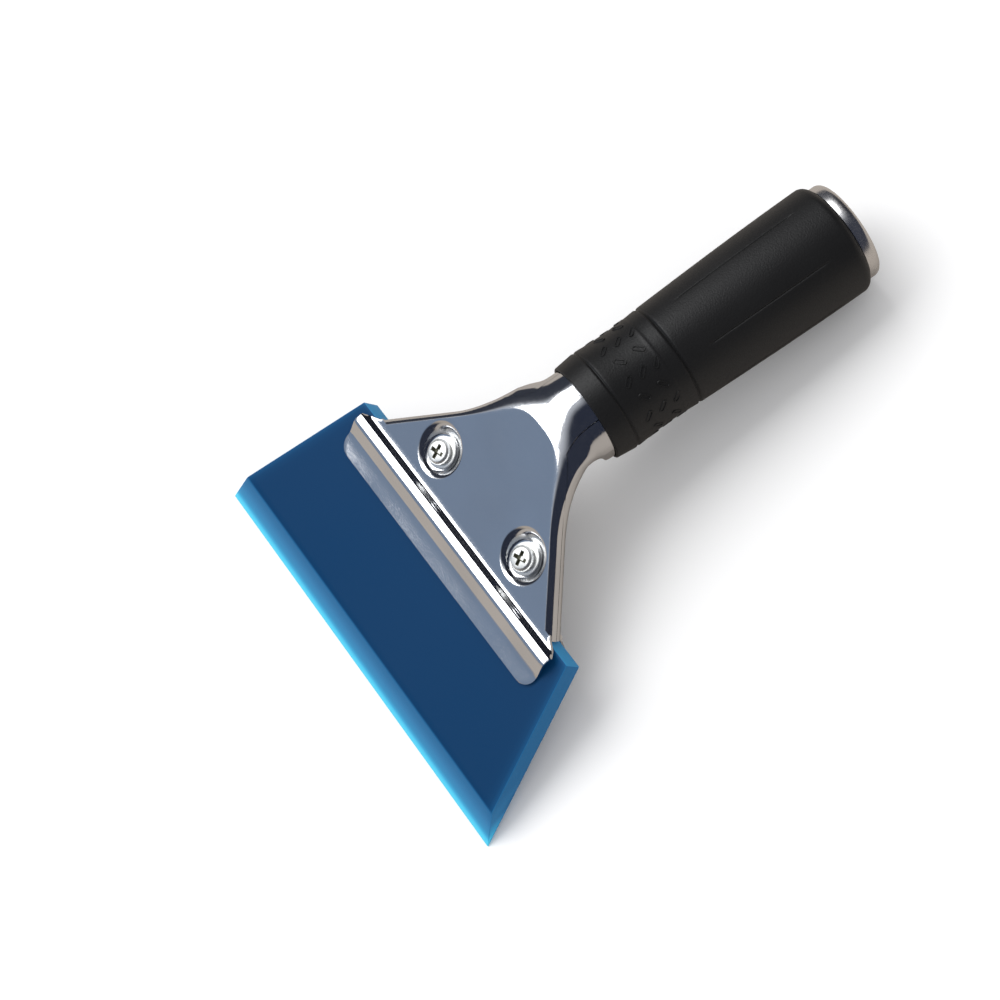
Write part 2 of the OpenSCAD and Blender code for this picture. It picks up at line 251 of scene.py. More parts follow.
def finish_mesh(data: bpy.types.Mesh) -> bpy.types.Mesh:
    """Merges doubled points, turns the faces outwards and marks the hard edges.

    Args:
        data: Mesh in the row frame.

    Returns:
        The same mesh.
    """
    work = bmesh.new()
    work.from_mesh(data)
    bmesh.ops.remove_doubles(work, verts=work.verts, dist=SAME_POINT)
    bmesh.ops.recalc_face_normals(work, faces=work.faces)
    work.to_mesh(data)
    work.free()
    data.shade_smooth()
    data.set_sharp_from_angle(angle=SMOOTH_BELOW)
    data.update()
    return data


def add_piece(data: bpy.types.Mesh, finish: "Finish", body: str) -> bpy.types.Object:
    """Puts a mesh in the scene as a dressed piece that rides on a CAD body.

    Args:
        data: Mesh in the row frame.
        finish: Finish that gives its material.
        body: CAD body that it moves with.

    Returns:
        The piece's object.
    """
    obj = bpy.data.objects.new(data.name, data)
    bpy.context.scene.collection.objects.link(obj)
    data.materials.clear()
    data.materials.append(finish.material())
    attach(obj, body)
    log.info("%s: %d faces, rides on %s", obj.name, len(data.polygons), body)
    return obj


# ---------------------------------------------------------------- shader groups and finishes


def feed(tree: bpy.types.NodeTree, socket: bpy.types.NodeSocket, value: object) -> None:
    """Feeds an input socket from another socket, or sets it to a plain value.

    Args:
        tree: Tree that holds the socket's node.
        socket: The input socket.
        value: A socket to link from, or the value to set.
    """
    if isinstance(value, bpy.types.NodeSocket):
        tree.links.new(value, socket)
    else:
        socket.default_value = value


def group_socket(tree: bpy.types.NodeTree, name: str, kind: str, default: float | None = None,
                 out: bool = False) -> None:
    """Adds a named socket to a node group.

    Args:
        tree: The group.
        name: Name of the socket.
        kind: Blender's socket type.
        default: Value where nothing is linked.
        out: Whether the socket is an output.
    """
    socket = tree.interface.new_socket(name=name, in_out="OUTPUT" if out else "INPUT", socket_type=kind)
    if default is not None:
        socket.default_value = default


def surface_group() -> bpy.types.NodeTree:
    """Builds the shared group for a surface's grain, long waves and wear.

    Returns:
        The group, with Roughness, Height and Mask outputs.
    """
    name = "handled_surface"
    if name in bpy.data.node_groups:
        return bpy.data.node_groups[name]
    tree = bpy.data.node_groups.new(name, "ShaderNodeTree")
    for label, value in (("Grain Scale", 900.0), ("Wave Scale", 40.0), ("Roughness Low", 0.1),
                         ("Roughness High", 0.2), ("Grain Height", 0.3), ("Wave Height", 0.3)):
        group_socket(tree, label, "NodeSocketFloat", value)
    for label in ("Roughness", "Height", "Mask"):
        group_socket(tree, label, "NodeSocketFloat", out=True)
    new, link = tree.nodes.new, tree.links.new
    inputs, outputs = new("NodeGroupInput"), new("NodeGroupOutput")
    coords = new("ShaderNodeTexCoord")
    grain, wave = new("ShaderNodeTexNoise"), new("ShaderNodeTexNoise")
    for noise, label, detail in ((grain, "Grain Scale", 3.0), (wave, "Wave Scale", 1.5)):
        noise.inputs["Detail"].default_value = detail
        link(coords.outputs["Object"], noise.inputs["Vector"])
        link(inputs.outputs[label], noise.inputs["Scale"])
    blend = new("ShaderNodeMix")
    blend.inputs["Factor"].default_value = 0.5
    link(grain.outputs["Fac"], blend.inputs["A"])
    link(wave.outputs["Fac"], blend.inputs["B"])
    spread = new("ShaderNodeMapRange")
    for label, value in zip(("From Min", "From Max"), NOISE_SPAN):
        spread.inputs[label].default_value = value
    link(blend.outputs["Result"], spread.inputs["Value"])
    link(inputs.outputs["Roughness Low"], spread.inputs["To Min"])
    link(inputs.outputs["Roughness High"], spread.inputs["To Max"])
    parts = []
    for noise, label in ((grain, "Grain Height"), (wave, "Wave Height")):
        part = new("ShaderNodeMath")
        part.operation = "MULTIPLY"
        link(noise.outputs["Fac"], part.inputs[0])
        link(inputs.outputs[label], part.inputs[1])
        parts.append(part)
    height = new("ShaderNodeMath")
    link(parts[0].outputs[0], height.inputs[0])
    link(parts[1].outputs[0], height.inputs[1])
    link(spread.outputs["Result"], outputs.inputs["Roughness"])
    link(height.outputs[0], outputs.inputs["Height"])
    link(wave.outputs["Fac"], outputs.inputs["Mask"])
    return tree


@dataclass(frozen=True)
class Finish:
    """A finish: a base colour, a colour it drifts to, and how its surface is worked."""

    name: str
    base: Colour
    drift: Colour
    metallic: float = 0.0
    roughness: Pair = (0.1, 0.2)  # lowest and highest
    grain: Pair = (900.0, 0.1)  # scale and height of the fine grain
    waves: Pair = (40.0, 0.1)  # scale and height of the long waves
    bump: float = 0.1
    specular: float = 0.5

    def material(self) -> bpy.types.Material:
        """Builds the finish's material once, or returns it.

        Returns:
            The material.
        """
        if self.name in bpy.data.materials:
            return bpy.data.materials[self.name]
        mat = bpy.data.materials.new(self.name)
        mat.use_nodes = True
        tree = mat.node_tree
        shader = next(n for n in tree.nodes if n.type == "BSDF_PRINCIPLED")
        shader.inputs["Metallic"].default_value = self.metallic
        shader.inputs["Specular IOR Level"].default_value = self.specular
        surface = tree.nodes.new("ShaderNodeGroup")
        surface.node_tree = surface_group()
        for labels, pair in ((("Grain Scale", "Grain Height"), self.grain),
                             (("Wave Scale", "Wave Height"), self.waves),
                             (("Roughness Low", "Roughness High"), self.roughness)):
            for label, value in zip(labels, pair):
                surface.inputs[label].default_value = value
        tree.links.new(surface.outputs["Roughness"], shader.inputs["Roughness"])
        bump = tree.nodes.new("ShaderNodeBump")
        bump.inputs["Strength"].default_value = self.bump
        bump.inputs["Distance"].default_value = MM
        tree.links.new(surface.outputs["Height"], bump.inputs["Height"])
        tree.links.new(bump.outputs["Normal"], shader.inputs["Normal"])
        tree.links.new(self.colour(tree, surface), shader.inputs["Base Color"])
        self.dress(tree, shader)
        return mat

    def colour(self, tree: bpy.types.NodeTree, surface: bpy.types.Node) -> bpy.types.NodeSocket:
        """Builds the colour, which drifts slowly over the surface.

        Args:
            tree: The material's nodes.
            surface: The shared surface group in it.

        Returns:
            The socket that gives the colour.
        """
        drift = tree.nodes.new("ShaderNodeMix")
        drift.data_type = "RGBA"
        drift.inputs["A"].default_value = self.base
        drift.inputs["B"].default_value = self.drift
        tree.links.new(surface.outputs["Mask"], drift.inputs["Factor"])
        return drift.outputs["Result"]

    def dress(self, tree: bpy.types.NodeTree, shader: bpy.types.Node) -> None:
        """Adds what only this finish has; a plain finish adds nothing."""


@dataclass(frozen=True)
class Urethane(Finish):
    """Cast urethane with painted light: its colour is brightened where it is thin, by the mesh's own glow
    attribute, standing in for light through it.
    """

    # glow and the colour that goes with it; the brighter tones are painted light through the thin urethane
    tones: tuple[tuple[float, Colour], ...] = (
        (0.0, (0.0022, 0.034, 0.102, 1)),
        (0.16, (0.006, 0.068, 0.180, 1)),
        (0.45, (0.028, 0.165, 0.345, 1)),
        (0.75, (0.040, 0.320, 0.560, 1)),
        (1.0, (0.080, 0.560, 0.790, 1)),
    )
    shine: float = 0.12

    def colour(self, tree: bpy.types.NodeTree, surface: bpy.types.Node) -> bpy.types.NodeSocket:
        """Colours the urethane from deep navy to bright cyan by its glow, painting the light through its thin
        parts into its colour.

        Args:
            tree: The material's nodes.
            surface: The shared surface group in it; not used here.

        Returns:
            The socket that gives the colour.
        """
        glow = tree.nodes.new("ShaderNodeAttribute")
        glow.attribute_name = "glow"
        ramp = tree.nodes.new("ShaderNodeValToRGB")
        while len(ramp.color_ramp.elements) < len(self.tones):
            ramp.color_ramp.elements.new(0.5)
        for element, (place, tone) in zip(ramp.color_ramp.elements, self.tones):
            element.position = place
            element.color = tone
        tree.links.new(glow.outputs["Fac"], ramp.inputs["Fac"])
        return ramp.outputs["Color"]

    def dress(self, tree: bpy.types.NodeTree, shader: bpy.types.Node) -> None:
        """Lets a little of the colour shine out of the urethane as emission, a painted glow that stands in
        for light through it.
        """
        shader.inputs["Emission Strength"].default_value = self.shine
        tree.links.new(shader.inputs["Base Color"].links[0].from_socket, shader.inputs["Emission Color"])


STEEL = Finish("pressed_bright_steel", (0.86, 0.87, 0.89, 1), (0.66, 0.67, 0.69, 1), metallic=1.0,
               roughness=(0.07, 0.15), grain=(1500.0, 0.02), waves=(55.0, 0.9), bump=0.35)
TUBE_STEEL = Finish("drawn_tube_steel", (0.78, 0.78, 0.79, 1), (0.70, 0.69, 0.68, 1), metallic=1.0,
                    roughness=(0.16, 0.28), grain=(1200.0, 0.05), waves=(60.0, 0.2), bump=0.1)
RING_STEEL = Finish("turned_ring_steel", (0.84, 0.84, 0.85, 1), (0.76, 0.74, 0.72, 1), metallic=1.0,
                    roughness=(0.20, 0.30), grain=(1500.0, 0.02), waves=(90.0, 0.6), bump=0.3)
PLATED = Finish("zinc_plated_hardware", (0.88, 0.88, 0.86, 1), (0.80, 0.80, 0.76, 1), metallic=1.0,
                roughness=(0.34, 0.46), grain=(2500.0, 0.06), waves=(200.0, 0.2), bump=0.12)
# painted shade: a dark material for the screws' cross recesses
RECESS_PAINTED_SHADE = Finish("cross_recess_painted_shade", (0.10, 0.105, 0.07, 1), (0.16, 0.16, 0.12, 1), metallic=0.4,
                roughness=(0.55, 0.7), grain=(2500.0, 0.1), waves=(300.0, 0.2), bump=0.1)
RUBBER = Finish("satin_black_rubber", (0.0075, 0.0075, 0.0078, 1), (0.011, 0.011, 0.0115, 1),
                roughness=(0.40, 0.52), grain=(2200.0, 0.30), waves=(30.0, 0.1), bump=0.25, specular=0.36)
URETHANE = Urethane("cast_blue_urethane", (0.003, 0.036, 0.105, 1), (0.003, 0.036, 0.105, 1),
                    roughness=(0.30, 0.42), grain=(1400.0, 0.05), waves=(25.0, 0.1), bump=0.08, specular=0.09)


# ------------------------------------------------------------------------------ the pieces


@dataclass
class Blade:
    """Bevelled blade with flared ends and lightly rounded edges."""

    rear_w: float = 99.0
    height: float = 52.0
    thickness: float = 6.35
    bevel: float = 9.6
    edge: float = 0.4
    flare: float = math.radians(17.4)
    round_edge: float = 0.28
    round_steps: int = 4
    face_steps: int = 26
    bevel_steps: int = 12
    along_steps: int = 60
    knee_room: Pair = (0.4, 0.3)  # bare stretch before and behind the bevel's start
    lip_room: Pair = (0.12, 0.1)  # bare stretch at the working edge, on the bevel and on the back
    # the glow settings below paint light through the thin urethane into its colour
    end_glow: Pair = (0.16, 1.1)  # strength at the ends and how far in it reaches
    rear_glow: Pair = (0.10, 0.9)  # strength at the rear edge and how far in it reaches
    end_face_glow: Point = (0.30, 0.25, 14.0)  # at the rear, gain to the working edge, its reach
    rear_face_glow: float = 0.52
    bevel_glow: Point = (0.30, 0.25, 0.45)  # at the bevel's start, gain over it, gain at the lip
    back_glow: Point = (0.6, 10.0, 6.0)  # at the working edge, how far it holds and how it fades

    def profile(self, inset: float) -> list[Pair]:
        """Cross-section, pulled in by inset, from the rear top edge over the front.

        Args:
            inset: How far the section is pulled in.

        Returns:
            Distance and level of each point.
        """
        r, t, h = self.round_edge, self.thickness, self.height
        slope, knee, lip = math.atan2(t - self.edge, self.bevel), -h + self.bevel, -h + inset + 0.01
        pts: list[Pair] = []
        for a in steps(0, math.pi / 2, self.round_steps):
            pts.append((-r + (r - inset) * math.cos(a), -r + (r - inset) * math.sin(a)))
        pts += [(y, -inset) for y in steps(-1, knee + self.knee_room[0], self.face_steps)]
        for y in steps(knee - self.knee_room[1], -h + self.lip_room[0], self.bevel_steps):
            z = -(t - self.edge) * (knee - y) / self.bevel
            pts.append((y + inset * math.sin(slope), z - inset * math.cos(slope)))
        pts += [(lip, -t + self.edge * 0.7), (lip, -t + self.edge * 0.3),
                (-h + inset + self.lip_room[1], -t + inset + 0.01)]
        pts += [(y, -t + inset) for y in steps(-h + 1, -1, self.face_steps)]
        for a in steps(-math.pi / 2, 0, self.round_steps):
            pts.append((-r + (r - inset) * math.cos(a), -t + r + (r - inset) * math.sin(a)))
        return pts

    def glow(self, x: float, y: float, z: float) -> float:
        """How brightly the urethane's painted glow shines at a point of the blade.

        Args:
            x: Place along the blade.
            y: Distance from its rear edge.
            z: Level over its front face.

        Returns:
            The glow, from 0 deep inside to 1 at the working edge.
        """
        along = self.rear_w / 2 - y * math.tan(self.flare) - abs(x)
        value = self.end_glow[0] * math.exp(-max(0.0, along) / self.end_glow[1])
        value += self.rear_glow[0] * math.exp(min(0.0, y) / self.rear_glow[1])
        if along < 0.25:
            low, gain, reach = self.end_face_glow
            value = low + gain * ease((reach - self.height - y) / reach)
        if y > -0.1:
            value = self.rear_face_glow
        depth = (-self.height + self.bevel - y) / self.bevel
        if depth > 0:
            low, gain, rim = self.bevel_glow
            value = max(value, low + gain * ease(depth * 1.4) + rim * ease((depth - 0.62) / 0.3))
        elif z < -self.thickness + 0.1:
            gain, reach, fade = self.back_glow
            value = max(value, gain * math.exp(min(0.0, (reach - self.height - y) / fade)))
        return min(1.0, value)

    def build(self, head: HeadFrame) -> None:
        """Builds the blade on its own body.

        Args:
            head: Frame of the head.
        """
        r = self.round_edge
        ends = [(r * (1 - math.cos(a)), r * (1 - math.sin(a)))
                for a in steps(0, math.pi / 2, self.round_steps)]
        stations = [(-1.0, back, inset) for back, inset in ends]
        stations += [(s, 0.0, 0.0) for s in steps(-0.97, 0.97, self.along_steps)]
        stations += [(1.0, back, inset) for back, inset in reversed(ends)]
        rings: list[list[Point]] = []
        for s, back, inset in stations:
            ring = []
            for y, z in self.profile(inset):
                half = self.rear_w / 2 - y * math.tan(self.flare)
                ring.append((s * (half - back) if back else s * half, y, z))
            rings.append(ring)
        skin = Skin()
        skin.add_loft(rings)
        # painted light: the glow of each point, which brightens the urethane's colour
        values = {tuple(round(c, 5) for c in head.place(p)): self.glow(*p) for p in skin.points}
        data = skin.mesh("blade_sheet", head.matrix())
        glow = data.attributes.new("glow", "FLOAT", "POINT")
        for vertex in data.vertices:
            key = tuple(round(c, 5) for c in vertex.co)
            glow.data[vertex.index].value = values.get(key, 0.0)
        obj = add_piece(data, URETHANE, "blade")
        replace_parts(obj, "blade")


@dataclass
class Head:
    """Shared shape of the two pressed shells: jaws, fan plate, dishes and neck."""

    jaw_half: float = 46.0
    jaw_reach: float = 13.4
    jaw_corner: float = 4.0
    sheet: float = 0.9
    # distance and level of points along the jaw's outer face
    bead_line: tuple[Pair, ...] = (
        (-13.4, 1.0), (-9.4, 1.0), (-8.7, 1.1), (-7.8, 1.42), (-5.4, 2.78), (-4.4, 3.3), (-3.8, 3.46),
        (-3.1, 3.42), (-2.1, 3.17), (-1.6, 2.98), (-1.25, 2.5), (-0.95, 1.95), (-0.6, 1.52), (-0.2, 1.37),
        (0.5, 1.34), (1.2, 1.36), (1.8, 1.4),
    )
    plate_top: float = 1.4
    rise: float = math.radians(7.5)
    fan_start: float = 1.5
    fan_half: float = 40.8
    taper: float = math.radians(41.5)
    fillet: float = 46.0
    crease: float = 38.0
    front_depth: float = 3.4
    back_depth: float = 2.8
    bend: float = math.radians(27.8)
    mouth: Pair = (44.8, -8.0)
    neck_r: float = 13.4
    morph_start: float = -0.36
    leave: float = math.radians(9.0)
    screw: Pair = (20.0, 9.3)
    seat: float = 0.3
    dish_floor: float = 4.95
    dish_slope: float = math.radians(47)
    dish_reach: float = 10.0
    floor_round: float = 0.5
    rim_round: float = 1.0
    panel_edge: float = 2.5
    panel_round: float = 5.0
    panel_tip: float = 6.0
    back_corner: float = 2.2
    corner_share: float = 0.75
    seam_climb: float = math.radians(64)
    seam_start: float = 20.0
    seam_run: float = 20.0
    seam_wall: float = 0.25
    jaw_turn: float = -1.4
    bead_span: Pair = (-9.2, 1.2)
    fan_rows: int = 76
    neck_rows: int = 30
    tail_rows: int = 6
    wall_columns: int = 4
    corner_columns: int = 12
    top_columns: int = 150

    def plate_z(self, y: float) -> float:
        """Level of the fan plate at distance y."""
        return self.plate_top + (y - self.fan_start) * math.tan(self.rise)

    def handle_point(self, d: float, h: float) -> Pair:
        """Point d behind the grip's mouth and h over the handle's axis."""
        c, s = math.cos(self.bend), math.sin(self.bend)
        return self.mouth[0] + d * c + h * s, self.mouth[1] - d * s + h * c

    def top_point(self, s: float) -> Pair:
        """Point of the top line: on the fan plate up to 0, then on the curve to the neck.

        Args:
            s: Station along the top line; past 1 it counts millimetres of the neck.

        Returns:
            Distance and level of the point.
        """
        if s > 1:
            return self.handle_point(s - 1, self.neck_r)
        if s <= 0:
            y = mix(self.crease, self.fan_start - 1, -s)
            return y, self.plate_z(y)
        start, end = (self.crease, self.plate_z(self.crease)), self.handle_point(0, self.neck_r)
        pull = (end[0] - start[0]) / 2
        b = (start[0] + pull * math.cos(self.leave), start[1] - pull * math.sin(self.leave))
        c = (end[0] - pull * math.cos(self.bend), end[1] + pull * math.sin(self.bend))
        u = 1 - s
        weights = (u ** 3, 3 * u * u * s, 3 * u * s * s, s ** 3)
        return tuple(sum(w * p[k] for w, p in zip(weights, (start, b, c, end))) for k in (0, 1))

    def morph(self, s: float) -> float:
        """Share of the round neck in the section at station s."""
        return ease((min(s, 1.0) - self.morph_start) / (1 - self.morph_start))

    def half_width(self, y: float) -> float:
        """Half width of the fan and neck at distance y."""
        run = self.fillet * math.tan(self.taper / 2)
        meet = self.fan_start + (self.fan_half - self.neck_r) / math.tan(self.taper)
        if y <= meet - run * math.cos(self.taper):
            return self.fan_half - (y - self.fan_start) * math.tan(self.taper)
        if y >= meet + run:
            return self.neck_r
        return self.neck_r + self.fillet - math.sqrt(self.fillet ** 2 - (meet + run - y) ** 2)

    def panel_half(self, y: float) -> float:
        """Half width of the flat panel, whose sides run straight to the crease."""
        run = min(y, self.crease) - self.fan_start
        straight = self.fan_half - self.panel_edge - run * math.tan(self.taper)
        near = max(0.0, 1 - (self.crease - y) / self.panel_round) if y < self.crease else 1.0
        rounded = straight - self.panel_round * 0.8 * (1 - math.sqrt(1 - near * near))
        return max(0.3, mix(rounded, 0.2, ease((y - self.crease) / self.panel_tip)))

    def seam(self, y: float) -> Pair:
        """Share of the side wall and angle of the corner at which the two shells meet.

        Args:
            y: Distance from the blade's rear edge.

        Returns:
            Share of the wall under the seam, and the angle past the wall.
        """
        climb = self.seam_climb * ease((y - self.seam_start) / self.seam_run)
        return ease(climb / self.seam_wall), max(0.0, climb - self.seam_wall)

    def dished(self, x: float, y: float, z: float, sink: float) -> float:
        """Level of the plate at a point, with the screws' dishes pressed into it.

        Args:
            x: Place along the blade.
            y: Distance from the blade's rear edge.
            z: Level of the plate there.
            sink: How far this face lies under the outer one.

        Returns:
            The level.
        """
        away = math.hypot(abs(x) - self.screw[0], y - self.screw[1])
        wall = max(0.0, away - self.dish_floor) * math.tan(self.dish_slope)
        floor = self.seat - sink
        rounding = self.floor_round
        cone = floor - soft_min(0.0, rounding / 2 - wall, rounding) if wall > 0 else floor
        return soft_min(z, cone, self.rim_round) if away < self.dish_reach else z

    def place(self, s: float, x: float, up: float) -> Point:
        """Point of the section at station s, x along the blade and up from its spine."""
        m = self.morph(s)
        angle = mix(-self.rise, self.bend, m)
        tall = mix(self.front_depth, self.neck_r, m)
        y, z = self.top_point(s)
        return x, y + (up - tall) * math.sin(angle), z + (up - tall) * math.cos(angle)

    def corner(self, s: float, side: Shell, inset: float) -> tuple[float, float, float, float]:
        """Half width, height and corner radii of a shell's section.

        Args:
            s: Station along the top line.
            side: Front or back shell.
            inset: How far the section is pulled in, to one sheet for the inner face.

        Returns:
            Half width, height, corner width and corner height.
        """
        m, y = self.morph(s), self.top_point(s)[0]
        depth = self.front_depth if side is Shell.FRONT else self.back_depth
        w = self.half_width(y) - inset
        h = mix(depth, self.neck_r, m) - inset
        flat = self.panel_half(y) if side is Shell.FRONT else mix(w - self.back_corner, 0.2, m)
        flat = max(0.1, min(flat, w - 0.4))
        return w, h, w - flat, min(h - 0.05, mix(depth * self.corner_share, self.neck_r, m))

    def stations(self, tail: float) -> list[float]:
        """Stations of a fine loft, close together where the top line bends.

        Args:
            tail: Length that runs on behind the grip's mouth.

        Returns:
            The stations.
        """
        neck = steps(0.02, 1, self.neck_rows)
        return steps(-1, 0, self.fan_rows) + neck + [1 + d for d in steps(0.3, tail, self.tail_rows)]

    def top_rows(self, inset: float, tail: float) -> list[list[Point]]:
        """Rows of the front shell's face from seam to seam.

        Args:
            inset: How far the face lies inside the outer one.
            tail: Length that runs on behind the grip's mouth.

        Returns:
            Rows of points.
        """
        rows = []
        for s in self.stations(tail):
            y = self.top_point(s)[0]
            w, h, rx, rz = self.corner(s, Shell.FRONT, inset)
            share, low = self.seam(y)
            side = [(w, u) for u in steps(mix(0.1, h - rz, share), h - rz, self.wall_columns)][:-1]
            if low > 0:
                side = [(w - rx + rx * math.cos(low), h - rz + rz * math.sin(low))] * self.wall_columns
            arc = [(w - rx + rx * math.cos(a), h - rz + rz * math.sin(a))
                   for a in steps(low, math.pi / 2, self.corner_columns)]
            top = [(x, h) for x in steps(w - rx, -(w - rx), self.top_columns)][1:-1]
            half = side + arc
            outline = half + top + [(-x, u) for x, u in reversed(half)]
            row = []
            for x, up in outline:
                px, py, pz = self.place(s, x, up)
                row.append((px, py, self.dished(px, py, pz, inset) if s < 0 else pz))
            rows.append(row)
        return rows

    def bead_z(self, y: float) -> float:
        """Level of the jaw's outer face: a long front slope, a sloping crest and a steep back."""
        line = self.bead_line
        k = max(0, min(len(line) - 2, sum(1 for at, _ in line if at <= y) - 1))
        (y0, z0), (y1, z1) = line[k], line[k + 1]
        before, after = line[max(0, k - 1)], line[min(len(line) - 1, k + 2)]
        t = max(0.0, min(1.0, (y - y0) / (y1 - y0)))
        m0 = (z1 - before[1]) / (y1 - before[0]) * (y1 - y0)
        m1 = (after[1] - z0) / (after[0] - y0) * (y1 - y0)
        return ((2 * t ** 3 - 3 * t * t + 1) * z0 + (t ** 3 - 2 * t * t + t) * m0
                + (3 * t * t - 2 * t ** 3) * z1 + (t ** 3 - t * t) * m1)

    def jaw_span(self, y: float) -> float:
        """Half width of the jaw at distance y, with its rounded corners."""
        r = self.jaw_corner
        back = -self.jaw_reach + r
        if y < back:
            return self.jaw_half - r + math.sqrt(max(0.0, r * r - (back - y) ** 2))
        if y > self.jaw_turn:
            share = (y - self.jaw_turn) / (self.fan_start - self.jaw_turn)
            return mix(self.jaw_half, self.fan_half, share)
        return self.jaw_half

    def jaw_rows(self) -> list[float]:
        """Distances at which the jaw's rows lie, close together on its corners and bead."""
        r = self.jaw_corner
        corner = [-self.jaw_reach + r * (1 - math.cos(a)) for a in steps(0.02, math.pi / 2, 10)]
        return corner + steps(*self.bead_span, 60)


@dataclass
class FrontShell:
    """Front shell: jaw with its bead, dished fan plate and the top of the neck."""

    head: Head
    tail: float = 6.0
    jaw_end: float = 1.8
    columns: int = 120
    side_round: float = 0.5
    side_drop: float = 0.12

    def build(self, at: HeadFrame) -> None:
        """Builds the front shell on the moving jaw.

        Args:
            at: Frame of the head.
        """
        h = self.head
        skin = Skin()
        skin.add_sheet(h.top_rows(0.0, self.tail), h.top_rows(h.sheet, self.tail))
        outer, inner = [], []
        shares = steps(-1, 1, self.columns)
        for y in h.jaw_rows() + [self.jaw_end]:
            span, z = h.jaw_span(min(y, h.fan_start)), h.bead_z(y)
            near = [max(0.0, abs(x) * span - span + self.side_round) / self.side_round for x in shares]
            outer.append([(x * span, y, z - self.side_drop * side) for x, side in zip(shares, near)])
            inner.append([(x * span, y, z - h.sheet) for x in shares])
        skin.add_sheet(outer, inner)
        obj = add_piece(skin.mesh("front_shell_pressing", at.matrix()), STEEL, "front_jaw")
        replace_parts(obj, "front_shell")


@dataclass
class BackShell:
    """Back shell: jaw that wraps the blade's rear edge, channel of the fan and neck."""

    head: Head
    blade_t: float = 6.35
    gap: float = 0.1
    tail: float = 14.0
    tuck: float = 0.05
    lap: float = 0.02
    wall_columns: int = 8
    flat_columns: int = 60

    def rows(self, inset: float, tail: float) -> list[list[Point]]:
        """Rows of the back shell's face from seam to seam, round under the head.

        Args:
            inset: How far the face lies inside the outer one.
            tail: Length that runs on behind the grip's mouth.

        Returns:
            Rows of points.
        """
        h = self.head
        rows = []
        for s in h.stations(tail):
            y = h.top_point(s)[0]
            w, top, frx, frz = h.corner(s, Shell.FRONT, inset + self.tuck)
            share, low = h.seam(y)
            above = [(w - frx + frx * math.cos(a), top - frz + frz * math.sin(a))
                     for a in steps(max(0.0, low - self.lap), 0, self.wall_columns)][:-1]
            above += [(w, mix(-0.1, top - frz, share)), (w, mix(-0.1, (top - frz) / 2, share))]
            if low <= 0:
                above = [(w, mix(-0.1, top - frz, share))] * self.wall_columns + above[-2:]
            _, d, rx, rz = h.corner(s, Shell.BACK, inset)
            under = [(w - rx + rx * math.cos(a), -(d - rz + rz * math.sin(a)))
                     for a in steps(0, math.pi / 2, h.corner_columns)]
            flat = [(x, -d) for x in steps(w - rx, -(w - rx), self.flat_columns)][1:-1]
            half = above + [(w, -0.15)] + under
            outline = half + flat + [(-x, u) for x, u in reversed(half)]
            rows.append([h.place(s, x, up) for x, up in outline])
        return rows

    def jaw(self) -> tuple[list[list[Point]], list[list[Point]]]:
        """Faces of the back jaw, from its front edge up the step behind the blade.

        Returns:
            Rows of the outer and the inner face.
        """
        h = self.head
        low = -self.blade_t - self.gap
        under = h.plate_z(5.0) - (h.front_depth + h.back_depth) / math.cos(h.rise)
        path = [(y, low) for y in h.jaw_rows() if y < -1.0] + [(0.1, low), (0.5, low + 0.15)]
        path += [(0.9, mix(low, under, 0.35)), (1.6, under + 0.5), (2.2, under + h.sheet)]
        outer, inner = [], []
        for y, z in path:
            span = min(h.jaw_span(y) - 0.6, mix(h.jaw_half, h.fan_half, ease((y + 1.6) / 1.6)) - 0.4)
            span -= max(0.0, y) * 0.9
            shift = 0.5 * ease(y / 1.2)
            outer.append([(x * span, y + shift, z - h.sheet) for x in steps(-1, 1, self.flat_columns)])
            inner.append([(x * span, y, z) for x in steps(-1, 1, self.flat_columns)])
        return outer, inner

    def build(self, at: HeadFrame) -> None:
        """Builds the back shell on the handle's body.

        Args:
            at: Frame of the head.
        """
        skin = Skin()
        skin.add_sheet(self.rows(0.0, self.tail), self.rows(self.head.sheet, self.tail))
        skin.add_sheet(*self.jaw())
        obj = add_piece(skin.mesh("back_shell_pressing", at.matrix()), STEEL, "handle")
        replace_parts(obj, "back_shell")


def handle_matrix(head: Head, at: HeadFrame, d: float) -> Matrix:
    """Matrix for pieces turned about the handle's axis.

    Args:
        head: Shape of the head, which gives the axis.
        at: Frame of the head.
        d: Distance behind the grip's mouth of the piece's start.

    Returns:
        Matrix from millimetres with the axis along Z and the screw side along Y.
    """
    y, z = head.handle_point(d, 0)
    place = Matrix.Translation((0, y, z))
    turn = Matrix.Rotation(-math.pi / 2 - head.bend, 4, "X")
    return at.matrix() @ place @ turn @ Matrix.Scale(-1, 4, (0, 1, 0))


